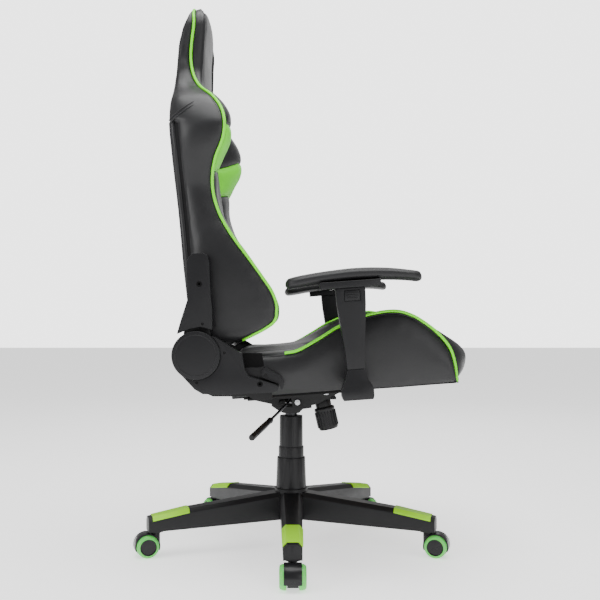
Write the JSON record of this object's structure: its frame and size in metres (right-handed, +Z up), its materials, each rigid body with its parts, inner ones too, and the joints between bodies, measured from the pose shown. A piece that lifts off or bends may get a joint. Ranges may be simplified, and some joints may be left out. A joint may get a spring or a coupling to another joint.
{
  "type": "racing-style gaming chair",
  "caption": "Racing-style gaming chair: winged reclining back and bolstered seat, height-adjustable armrests, gas lift, star base on twin-wheel casters.",
  "frame": {"origin": "on the floor, on the axis of the gas lift", "axes": "+X the sitter's forward, +Y the sitter's left, +Z up"},
  "size_m": [0.7266, 0.7035, 1.2213],
  "materials": {
    "nylon_black": "fine-grained moulded plastic",
    "caster_black": "smooth moulded plastic",
    "trim_green": "satin",
    "tyre_green": "smooth, slightly glossy",
    "pad_soft_black": "soft skin, fine grain",
    "steel_black": "powder coat",
    "steel_zinc": "zinc plated",
    "board_wood": "raw plywood",
    "leather_black": "satin coated upholstery, fine grain",
    "leather_green": "satin coated upholstery, fine grain"
  },
  "bodies": {
    "base": {"star_base": "nylon_black", "leg_trim_pads": "trim_green", "pressure_tube": "steel_black", "lift_cover_lower": "nylon_black"},
    "caster_1": {"caster_hood_1": "caster_black"},
    "caster_roll_1": {"caster_wheels_1": "caster_black", "caster_tyres_1": "tyre_green"},
    "caster_2": {"caster_hood_2": "caster_black"},
    "caster_roll_2": {"caster_wheels_2": "caster_black", "caster_tyres_2": "tyre_green"},
    "caster_3": {"caster_hood_3": "caster_black"},
    "caster_roll_3": {"caster_wheels_3": "caster_black", "caster_tyres_3": "tyre_green"},
    "caster_4": {"caster_hood_4": "caster_black"},
    "caster_roll_4": {"caster_wheels_4": "caster_black", "caster_tyres_4": "tyre_green"},
    "caster_5": {"caster_hood_5": "caster_black"},
    "caster_roll_5": {"caster_wheels_5": "caster_black", "caster_tyres_5": "tyre_green"},
    "middle_cover": {"lift_cover_middle": "nylon_black"},
    "column": {"piston_rod": "steel_zinc", "lift_cover_upper": "nylon_black"},
    "pin": {"release_pin": "steel_zinc"},
    "mechanism": {"tilt_housing": "steel_black", "tilt_pin": "steel_zinc", "spring_cup": "nylon_black", "tilt_spring": "steel_zinc", "tension_bolt": "steel_zinc"},
    "knob": {"tension_knob": "nylon_black"},
    "lift_lever": {"lift_lever_rod": "steel_black", "lift_lever_grip": "nylon_black"},
    "seat": {"seat_plate": "steel_black", "seat_board": "board_wood", "seat_bolts": "steel_zinc", "seat_rails": "steel_black", "seat_cushion": "leather_black", "seat_bolsters": "leather_black", "recline_brackets_lower": "steel_black", "recline_pins": "steel_black", "hinge_caps": "nylon_black", "side_covers": "nylon_black", "arm_brackets": "steel_black", "arm_sockets": "nylon_black"},
    "backrest": {"recline_brackets_upper": "steel_black", "recline_gears": "steel_zinc", "upright_covers": "nylon_black", "back_bolts": "steel_zinc", "back_frame": "steel_black", "back_cushion": "leather_black", "back_bolsters": "leather_black"},
    "recline_handle": {"recline_lever": "nylon_black"},
    "arm_left": {"arm_sleeve_left": "nylon_black"},
    "arm_key_left": {"arm_button_left": "nylon_black"},
    "arm_top_left": {"arm_pad_plate_left": "nylon_black", "arm_pad_left": "pad_soft_black"},
    "arm_right": {"arm_sleeve_right": "nylon_black"},
    "arm_key_right": {"arm_button_right": "nylon_black"},
    "arm_top_right": {"arm_pad_plate_right": "nylon_black", "arm_pad_right": "pad_soft_black"}
  },
  "joints": [
    {"name": "caster_1_swivel", "type": "hinge", "parent": "base", "child": "caster_1", "pos_m": [0, -0.316, 0.055], "axis": [0, 0, 1], "continuous": true},
    {"name": "caster_1_roll", "type": "hinge", "parent": "caster_1", "child": "caster_roll_1", "pos_m": [0, -0.336, 0.025], "axis": [1, 0, 0], "continuous": true},
    {"name": "caster_2_swivel", "type": "hinge", "parent": "base", "child": "caster_2", "pos_m": [0.30053, -0.09765, 0.055], "axis": [0, 0, 1], "continuous": true},
    {"name": "caster_2_roll", "type": "hinge", "parent": "caster_2", "child": "caster_roll_2", "pos_m": [0.31955, -0.10383, 0.025], "axis": [0.309, 0.9511, 0], "continuous": true},
    {"name": "caster_3_swivel", "type": "hinge", "parent": "base", "child": "caster_3", "pos_m": [0.18574, 0.25565, 0.055], "axis": [0, 0, 1], "continuous": true},
    {"name": "caster_3_roll", "type": "hinge", "parent": "caster_3", "child": "caster_roll_3", "pos_m": [0.1975, 0.27183, 0.025], "axis": [-0.809, 0.5878, 0], "continuous": true},
    {"name": "caster_4_swivel", "type": "hinge", "parent": "base", "child": "caster_4", "pos_m": [-0.18574, 0.25565, 0.055], "axis": [0, 0, 1], "continuous": true},
    {"name": "caster_4_roll", "type": "hinge", "parent": "caster_4", "child": "caster_roll_4", "pos_m": [-0.1975, 0.27183, 0.025], "axis": [-0.809, -0.5878, 0], "continuous": true},
    {"name": "caster_5_swivel", "type": "hinge", "parent": "base", "child": "caster_5", "pos_m": [-0.30053, -0.09765, 0.055], "axis": [0, 0, 1], "continuous": true},
    {"name": "caster_5_roll", "type": "hinge", "parent": "caster_5", "child": "caster_roll_5", "pos_m": [-0.31955, -0.10383, 0.025], "axis": [0.309, -0.9511, 0], "continuous": true},
    {"name": "lift_travel", "type": "slide", "parent": "base", "child": "column", "axis": [0, 0, 1], "range_m": [-0.08, 0]},
    {"name": "cover_travel", "type": "slide", "parent": "base", "child": "middle_cover", "axis": [0, 0, 1], "range_m": [-0.04, 0]},
    {"name": "seat_swivel", "type": "hinge", "parent": "column", "child": "mechanism", "pos_m": [0, 0, 0.31], "axis": [0, 0, 1], "continuous": true},
    {"name": "release_pin_travel", "type": "slide", "parent": "column", "child": "pin", "axis": [0, 0, -1], "range_m": [0, 0.0045]},
    {"name": "tension_turn", "type": "hinge", "parent": "mechanism", "child": "knob", "pos_m": [0.071, 0, 0.341], "axis": [0.225, 0, -0.9744], "continuous": true},
    {"name": "lift_lever_pull", "type": "hinge", "parent": "mechanism", "child": "lift_lever", "pos_m": [-0.006, -0.0435, 0.3334], "axis": [-1, 0, 0], "range_deg": [0, 5], "stiffness_Nm_per_rad": 40, "springref_deg": -1.15},
    {"name": "seat_tilt", "type": "hinge", "parent": "mechanism", "child": "seat", "pos_m": [0.0136, 0, 0.334], "axis": [0, -1, 0], "range_deg": [0, 14], "stiffness_Nm_per_rad": 250, "springref_deg": -17.19},
    {"name": "back_recline", "type": "hinge", "parent": "seat", "child": "backrest", "pos_m": [-0.193, 0, 0.451], "axis": [0, -1, 0], "range_deg": [0, 70]},
    {"name": "recline_lever_pull", "type": "hinge", "parent": "seat", "child": "recline_handle", "pos_m": [-0.054, -0.268, 0.411], "axis": [0, -1, 0], "range_deg": [0, 25], "stiffness_Nm_per_rad": 1.2, "springref_deg": -5.73},
    {"name": "arm_height_left", "type": "slide", "parent": "seat", "child": "arm_left", "axis": [-0.0732, 0, 0.9973], "range_m": [0, 0.06]},
    {"name": "arm_button_left_press", "type": "slide", "parent": "arm_left", "child": "arm_key_left", "axis": [0, -1, 0], "range_m": [0, 0.003], "stiffness_N_per_m": 600, "springref_m": -0.001},
    {"name": "arm_pad_left_turn", "type": "hinge", "parent": "arm_left", "child": "arm_top_left", "pos_m": [0.11225, 0.31, 0.58485], "axis": [-0.0732, 0, 0.9973], "range_deg": [-15, 15]},
    {"name": "arm_height_right", "type": "slide", "parent": "seat", "child": "arm_right", "axis": [-0.0732, 0, 0.9973], "range_m": [0, 0.06]},
    {"name": "arm_button_right_press", "type": "slide", "parent": "arm_right", "child": "arm_key_right", "axis": [0, 1, 0], "range_m": [0, 0.003], "stiffness_N_per_m": 600, "springref_m": -0.001},
    {"name": "arm_pad_right_turn", "type": "hinge", "parent": "arm_right", "child": "arm_top_right", "pos_m": [0.11225, -0.31, 0.58485], "axis": [-0.0732, 0, 0.9973], "range_deg": [-15, 15]}
  ],
  "couplings": [
    {"joint": "cover_travel", "follows": "lift_travel", "ratio": 0.5},
    {"joint": "release_pin_travel", "follows": "lift_lever_pull", "m_per_rad": 0.047}
  ]
}
